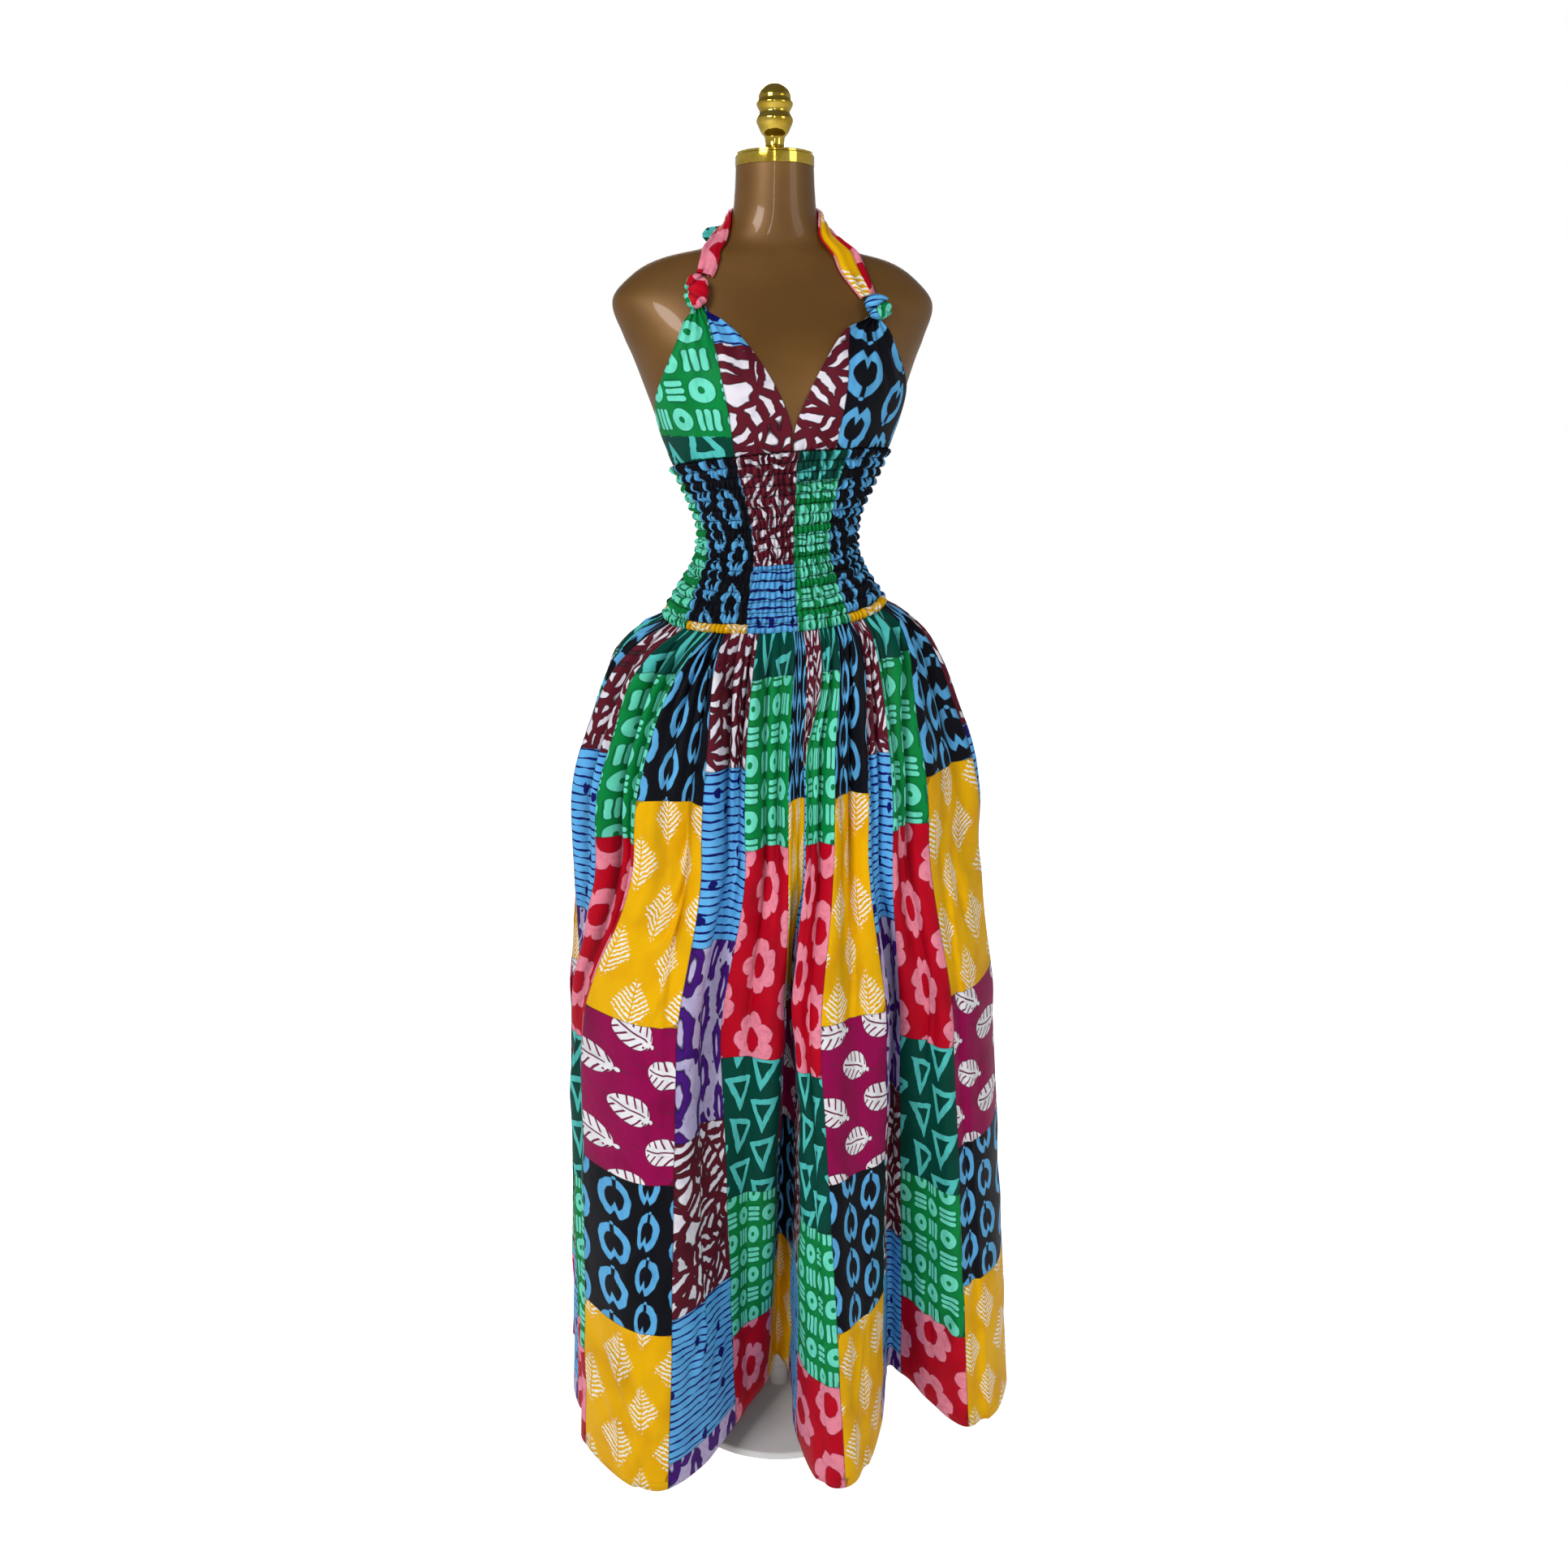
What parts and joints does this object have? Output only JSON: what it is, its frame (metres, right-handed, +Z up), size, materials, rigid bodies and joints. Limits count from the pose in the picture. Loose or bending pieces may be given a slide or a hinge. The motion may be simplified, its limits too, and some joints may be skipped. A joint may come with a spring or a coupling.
{
  "type": "smocked halter maxi dress on a limbless dress form",
  "caption": "Floor-length halter dress with gathered cups, a smocked midriff and a full gathered patchwork skirt, worn by a smooth limbless dress form on a round base.",
  "frame": {"origin": "centre of the underside of the stand's round base, on the floor", "axes": "+Z up along the pole to the finial, -Y the front of the dress, +X its wearer's left side, on the right in a view from the front"},
  "size_m": [0.611, 0.5017, 1.7166],
  "materials": {
    "form_bronze": "satin bronze-brown lacquer",
    "cap_gold": "polished gold plating",
    "stand_pole": "pale satin paint",
    "stand_base": "pale satin paint",
    "smocked_cloth": "printed rayon drawn up by rows of elastic shirring",
    "patchwork_cloth": "batik-printed rayon patches with a soft sheen",
    "cup_cloth": "printed rayon, softly gathered",
    "tie_cloth": "printed rayon, folded and knotted"
  },
  "bodies": {
    "root": {"form_torso": "form_bronze", "form_neck_cap": "cap_gold", "form_finial": "cap_gold", "stand_pole": "stand_pole", "stand_base": "stand_base", "band_front": "smocked_cloth", "band_back": "smocked_cloth", "skirt_front": "patchwork_cloth", "skirt_back": "patchwork_cloth", "cup_left": "cup_cloth", "cup_right": "cup_cloth", "strap_left": "tie_cloth", "strap_right": "tie_cloth", "knot_left": "tie_cloth", "knot_right": "tie_cloth", "nape_knot": "tie_cloth", "bow_loop_left": "tie_cloth", "bow_loop_right": "tie_cloth", "bow_tail_left": "tie_cloth", "bow_tail_right": "tie_cloth"}
  },
  "joints": []
}
